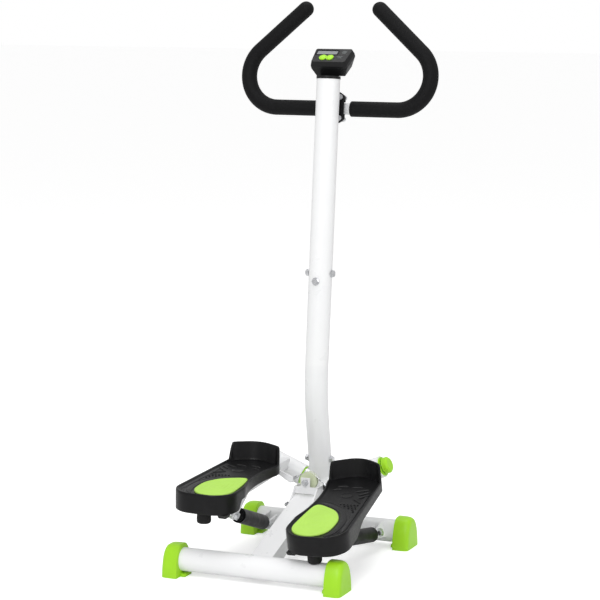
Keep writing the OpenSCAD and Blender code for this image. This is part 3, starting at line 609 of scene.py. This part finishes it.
LOW_FRAME = Matrix.Translation((0, 122.7, 340)) @ Matrix.Rotation(math.radians(10.1), 4, "X")
BEAM_FRAME = Matrix.Translation((0, -156.7, 54.3)) @ Matrix.Rotation(math.radians(17.9), 4, "X")
AXLE_FRAME = Matrix.Translation((0, 171.5, 126)) @ Matrix.Rotation(math.radians(-22), 4, "Y")
STAB_Y, STAB_R, POST_R = 196.5, 25.0, 25.4
BEAM_HALF, BEAM_H = 25.0, 34.0


def tube_depth(point, y):
    """Distance of a point outside the surface of a stabilizer."""
    return math.hypot(point.y - y, point.z - TUBE_Z) - STAB_R


def post_depth(point):
    """Distance of a point outside the surface of the post."""
    local = LOW_FRAME.inverted() @ point
    return math.hypot(local.x, local.y) - POST_R


def first_touch(start, step, depth, limit):
    """Walks from a start point until a surface is reached. Gives the point, or None."""
    p, travelled = Vector(start), 0.0
    while travelled < limit:
        gap = depth(p)
        if gap <= 0.05:
            return p
        move = max(gap * 0.5, 0.05)
        p = p + step * move
        travelled += move
    return None


def bead(bm, points, radius=2.1):
    """A weld bead with a slight ripple along a path."""
    tube_path(bm, points, lambda i: radius * (1 + 0.07 * math.sin(i * 2.4)), count=8)


def beam_edge():
    """Points on the beam's top and sides in its own section, from one lower edge to the other."""
    corner = 1.5
    half = [(BEAM_HALF - corner, 0), (BEAM_HALF, -corner), (BEAM_HALF, -BEAM_H + 2)]
    pts = [(-x, z) for x, z in reversed(half)] + half
    return dense([Vector((x, 0, z)) for x, z in pts], 2.0)


def welds():
    bm = bmesh.new()
    down = (LOW_FRAME.to_3x3() @ Vector((0, 0, -1))).normalized()
    ring = []
    for i in range(-46, 47):
        a = math.radians(-90 + i * 2.0)
        start = LOW_FRAME @ Vector((POST_R * math.cos(a), POST_R * math.sin(a), -240))
        hit = first_touch(start, down, lambda p: tube_depth(p, STAB_Y), 120)
        if hit:
            ring.append(hit)
    bead(bm, dense(ring))
    along = (BEAM_FRAME.to_3x3() @ Vector((0, 1, 0))).normalized()
    front, rear = [], []
    for p in beam_edge():
        hit = first_touch(BEAM_FRAME @ (p + Vector((0, 150, 0))), along, post_depth, 260)
        if hit:
            front.append(hit)
        hit = first_touch(BEAM_FRAME @ (p + Vector((0, 60, 0))), -along,
                          lambda q: tube_depth(q, -STAB_Y), 160)
        if hit:
            rear.append(hit)
    bead(bm, dense(front))
    bead(bm, dense(rear))
    # collars of the pivot axles on the post
    for mirror in (1, -1):
        collar = []
        for i in range(61):
            a = 2 * math.pi * i / 60
            start = AXLE_FRAME @ Vector((60, 20.8 * math.cos(a), 20.8 * math.sin(a)))
            inward = (AXLE_FRAME.to_3x3() @ Vector((-1, 0, 0))).normalized()
            hit = first_touch(start, inward, post_depth, 60)
            if hit:
                collar.append(Vector((hit.x * mirror, hit.y, hit.z)))
        if len(collar) > 40:
            bead(bm, dense(collar), 1.7)
    obj = new_object("weld_beads", bm, smooth=60, material=mats["white_steel"])
    finish_piece(obj, "root", "white_steel")


welds()

# ------------------------------------------------------------------ cable

PULLEY = Vector((0, 86.5, 156))
WRAP = 18.7  # radius of the cable's centreline on the pulley
PAST_RIM = 11.0  # straight length that stays with the base, until the cable is past the rim
PIN_LOW, PIN_UP = Vector((49, 86.5, 141)), Vector((-43.4, 86.5, 154.7))
EYE_R = 7.0


def tangent_point(pin):
    """Where the cable leaves the pulley towards a pin."""
    side = 1 if pin.x > 0 else -1
    dx, dz = abs(pin.x), pin.z - PULLEY.z
    off = math.radians(90) + math.atan2(dz, dx) - math.asin(WRAP / math.hypot(dx, dz))
    return PULLEY + Vector((side * WRAP * math.cos(off), 0, WRAP * math.sin(off))), off


def strands(bm, path, pitch=9.0):
    """Seven twisted strands along a path of closely spaced points."""
    tube_path(bm, path, 0.55, count=6)
    for k in range(6):
        pts, run = [], 0.0
        side = Vector((0, 1, 0))
        for i, p in enumerate(path):
            up = tangent_at(path, i).cross(side).normalized()
            run += (p - path[max(i - 1, 0)]).length
            turn = 2 * math.pi * (run / pitch + k / 6)
            pts.append(p + 1.02 * (math.cos(turn) * side + math.sin(turn) * up))
        tube_path(bm, pts, 0.53, count=6)


def cable():
    low, off_low = tangent_point(PIN_LOW)
    up, off_up = tangent_point(PIN_UP)
    bm = bmesh.new()
    arc_pts = [low + (PIN_LOW - low).normalized() * PAST_RIM]
    for i in range(41):
        a = off_low + (math.pi - off_low - off_up) * i / 40
        arc_pts.append(PULLEY + Vector((WRAP * math.cos(a), 0, WRAP * math.sin(a))))
    arc_pts.append(up + (PIN_UP - up).normalized() * PAST_RIM)
    strands(bm, dense(arc_pts, 0.8))
    wrap = new_object("cable_wrap", bm, smooth=60, material=mats["zinc_steel"])
    finish_piece(wrap, "root", "zinc_steel", "pedal_cable")
    for side, start, pin in (("right", low, PIN_LOW), ("left", up, PIN_UP)):
        bm = bmesh.new()
        way = (pin - start).normalized()
        start = start + way * PAST_RIM
        end = pin - way * EYE_R
        strands(bm, dense([start, end], 0.8))
        # crimped ferrule at the eye
        ferrule = [end - way * 12, end - way * 11.4, end - way * 1.6, end - way * 1.0]
        tube_path(bm, ferrule, lambda i: 2.3 if i in (0, 3) else 2.7, count=16)
        run = new_object(f"cable_run_{side}", bm, smooth=50, material=mats["zinc_steel"])
        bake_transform(run)


cable()

# ------------------------------------------------------------------ console details

FACE_TILT = math.radians(33)
FACE = Matrix.Translation(Vector((0, 207.03, 1070.4)) * MM) @ Matrix.Rotation(FACE_TILT, 4, "X")
WINDOW = (-36, 12, 4, 18)  # x0, x1, y0, y1
FACE_BARS = ((27, 16, 12), (27, 12.4, 12), (27, 8.8, 8), (22, -4, 14), (22, -8, 10))  # x, y, width
BUTTON_AT, LOBE, LOBE_R = (-8, -8), 8, 8.5


def rounded_rectangle(x0, x1, y0, y1, r, count=64):
    pts = []
    for cx, cy, a in ((x1 - r, y1 - r, 0), (x0 + r, y1 - r, 90),
                      (x0 + r, y0 + r, 180), (x1 - r, y0 + r, 270)):
        pts += arc(cx, cy, r, a, a + 90, 8)
    return resample(pts, count)


def plate_with_hole(bm, outer, inner, levels):
    """A thin ring between two outlines. Levels are (inset, height) pairs from the foot over the rim."""
    rings = [[(p.x, p.y, z) for p in inset(outer, d)] for d, z in levels]
    rings += [[(p.x, p.y, z) for p in inset(inner, -d)] for d, z in reversed(levels)]
    rows = loft(bm, rings, caps=False)
    bridge(bm, rows[-1], rows[0])


def console_details():
    x0, x1, y0, y1 = WINDOW
    bm = bmesh.new()
    plate_with_hole(bm, rounded_rectangle(x0 - 3.2, x1 + 3.2, y0 - 2.4, y1 + 2.6, 3.0),
                    rounded_rectangle(x0 + 0.3, x1 - 0.3, y0 + 0.3, y1 - 0.3, 0.8),
                    [(0, -0.4), (0, 0.35), (0.35, 0.7), (0.9, 0.75)])
    bezel = new_object("window_bezel", bm, FACE, smooth=40, material=mats["black_barrel"])
    finish_piece(bezel, "root", "black_plastic")
    # small bars moulded into the face beside the window and under it
    bm = bmesh.new()
    for x, y, w in FACE_BARS:
        outline = rounded_rectangle(x - w / 2, x + w / 2, y - 0.55, y + 0.55, 0.5, 24)
        loft(bm, [[(p.x, p.y, z) for p in inset(outline, d)]
                  for d, z in ((0, -0.3), (0, 0.12), (0.12, 0.2))])
    marks = new_object("face_bars", bm, FACE, smooth=40, material=mats["lcd"])
    finish_piece(marks, "root", "black_plastic")
    # domed lobes of the twin button
    bm = bmesh.new()
    for sign in (1, -1):
        at = (BUTTON_AT[0] + sign * LOBE, BUTTON_AT[1])
        loft(bm, [circle(LOBE_R - d, 40, z, at) for d, z in
                  ((1.4, 1.2), (1.4, 1.7), (1.8, 2.2), (3.2, 2.7), (5.2, 2.95), (7.4, 3.0))])
    lobes = new_object("button_lobes", bm, FACE, smooth=50, material=mats["lime_plastic"])
    finish_piece(lobes, "button", "lime_plastic")


console_details()

# ------------------------------------------------------------------ studio

FLOOR_WHITE, FLOOR_GLOW, WORLD_LEVEL = 0.9, 0.42, 0.62
# Name, place, target, size and power of each soft light
LIGHTS = (("key", (0.4, -3.6, 2.6), (0, 0, 0.5), 2.0, 62),
          ("fill", (3.2, -1.2, 1.8), (0, 0, 0.5), 1.6, 12),
          ("top", (0, 0.4, 3.6), (0, 0, 0.4), 2.5, 40))


def camera_ray(tree):
    """A value that is 1 for what the camera sees directly, else 0."""
    return tree.nodes.new("ShaderNodeLightPath").outputs["Is Camera Ray"]


def aim(obj, place, target):
    """Puts a light or camera somewhere and points it at a target."""
    obj.location = place
    obj.rotation_euler = (Vector(target) - Vector(place)).to_track_quat("-Z", "Y").to_euler()


def studio():
    """Pale floor and backdrop with soft lights."""
    bm = bmesh.new()
    bmesh.ops.create_grid(bm, x_segments=1, y_segments=1, size=30000)
    floor = new_object("floor", bm)
    mat = bpy.data.materials.new("floor_white")
    mat.use_nodes = True
    tree = mat.node_tree
    shader = tree.nodes["Principled BSDF"]
    shader.inputs["Base Color"].default_value = (FLOOR_WHITE, FLOOR_WHITE, FLOOR_WHITE, 1)
    shader.inputs["Roughness"].default_value = 0.9
    shader.inputs["Specular IOR Level"].default_value = 0.1
    # the floor glows a little for the camera alone, so that it runs into the backdrop
    glow = tree.nodes.new("ShaderNodeMath")
    glow.operation = "MULTIPLY"
    glow.inputs[1].default_value = FLOOR_GLOW
    tree.links.new(camera_ray(tree), glow.inputs[0])
    shader.inputs["Emission Color"].default_value = (1, 1, 1, 1)
    tree.links.new(glow.outputs["Value"], shader.inputs["Emission Strength"])
    floor.data.materials.append(mat)
    world = bpy.data.worlds.new("studio")
    bpy.context.scene.world = world
    world.use_nodes = True
    tree = world.node_tree
    background = tree.nodes["Background"]
    background.inputs["Color"].default_value = (1, 1, 1, 1)
    level = tree.nodes.new("ShaderNodeMapRange")
    level.inputs["To Min"].default_value = WORLD_LEVEL
    level.inputs["To Max"].default_value = 1.0
    tree.links.new(camera_ray(tree), level.inputs["Value"])
    tree.links.new(level.outputs["Result"], background.inputs["Strength"])

    for name, place, target, size, power in LIGHTS:
        light = bpy.data.lights.new(name, "AREA")
        light.shape = "RECTANGLE"
        light.size = size
        light.size_y = size
        light.energy = power
        aim(add_to_scene(name, light), place, target)


CAMERA_AT = Vector((1801.0, -4174.7, 1242.4)) * MM
CAMERA_TO = Vector((56.9, -96.5, 581.2)) * MM
CAMERA_LENS = 130.78


def camera():
    data = bpy.data.cameras.new("camera")
    data.lens = CAMERA_LENS
    data.sensor_width = 36
    data.clip_end = 100
    obj = add_to_scene("camera", data)
    aim(obj, CAMERA_AT, CAMERA_TO)
    bpy.context.scene.camera = obj


studio()
camera()
bpy.context.scene.view_settings.view_transform = "Standard"
